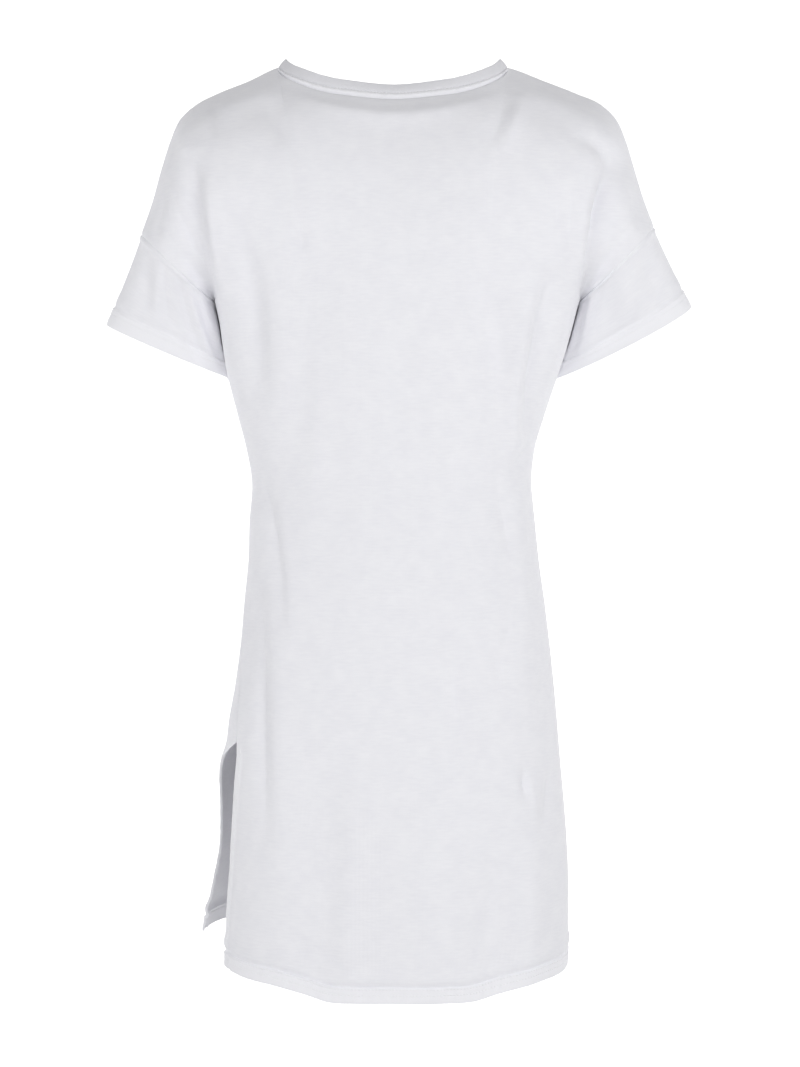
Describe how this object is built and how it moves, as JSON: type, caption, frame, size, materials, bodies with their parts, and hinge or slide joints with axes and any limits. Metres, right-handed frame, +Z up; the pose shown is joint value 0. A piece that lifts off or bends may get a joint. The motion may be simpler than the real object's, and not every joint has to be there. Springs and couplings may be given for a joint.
{
  "type": "dress",
  "caption": "Short-sleeved T-shirt dress in filled-out worn form, with a round neckband, dropped shoulders and one side slit.",
  "frame": {"origin": "midway between the two high neck points, where the wearer's shoulders hold the dress up", "axes": "+Z up towards the neck, front of the dress towards -Y, the wearer's left (the slit side) towards +X"},
  "size_m": [0.5696, 0.243, 0.8836],
  "materials": {
    "jersey": "matt white cotton jersey",
    "neck_rib": "matt white cotton rib"
  },
  "bodies": {
    "root": {"back_panel": "jersey", "front_panel": "jersey", "sleeve_left": "jersey", "sleeve_right": "jersey", "neckband": "neck_rib"}
  },
  "joints": []
}
